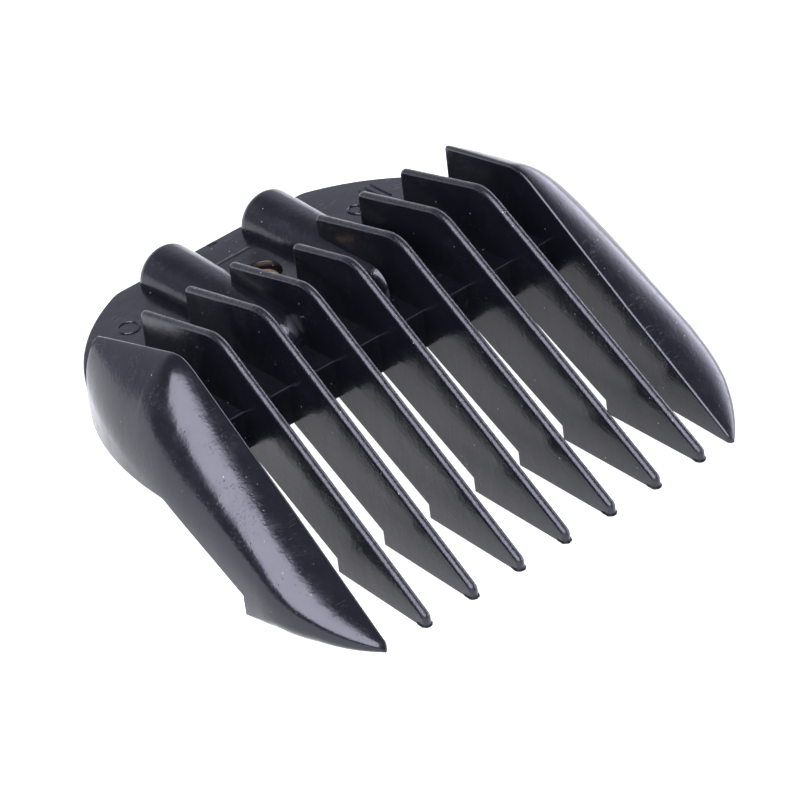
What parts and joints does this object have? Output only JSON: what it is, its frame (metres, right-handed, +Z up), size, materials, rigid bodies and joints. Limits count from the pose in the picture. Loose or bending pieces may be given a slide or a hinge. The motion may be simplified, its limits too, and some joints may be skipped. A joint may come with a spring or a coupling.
{
  "type": "clipper guard comb",
  "caption": "Hair clipper guard comb: rimmed plate with two half-round domes, a row of thin spacer teeth between convex side fins, and a riveted spring clip underneath.",
  "frame": {"origin": "on the table under the middle of the comb's bounding box, the comb lying on the steps under its side fins and on its clip's hook", "axes": "+X to the right along the row of teeth, -Y towards the tooth tips, +Z up; the plate rises towards the teeth by 9.6 degrees"},
  "size_m": [0.0546, 0.051, 0.0167],
  "materials": {
    "comb_plastic": "glossy black moulded plastic with fine scratches",
    "rivet_alloy": "copper-coloured, rough peened end",
    "clip_steel": "bright spring steel strip"
  },
  "bodies": {
    "comb": {"base_plate": "comb_plastic", "screw_dome_left": "comb_plastic", "screw_dome_right": "comb_plastic", "tooth_1": "comb_plastic", "tooth_2": "comb_plastic", "tooth_3": "comb_plastic", "tooth_4": "comb_plastic", "tooth_5": "comb_plastic", "tooth_6": "comb_plastic", "tooth_7": "comb_plastic", "side_fin_left": "comb_plastic", "side_fin_right": "comb_plastic", "clip_rivet": "rivet_alloy", "clip_base": "clip_steel"},
    "clip": {"clip_arm": "clip_steel"}
  },
  "joints": [
    {"name": "clip_flex", "type": "hinge", "parent": "comb", "child": "clip", "pos_m": [0, 0.0224, 0.00433], "axis": [1, 0, 0], "range_deg": [0, 15], "stiffness_Nm_per_rad": 0.05, "springref_deg": -5.73}
  ]
}
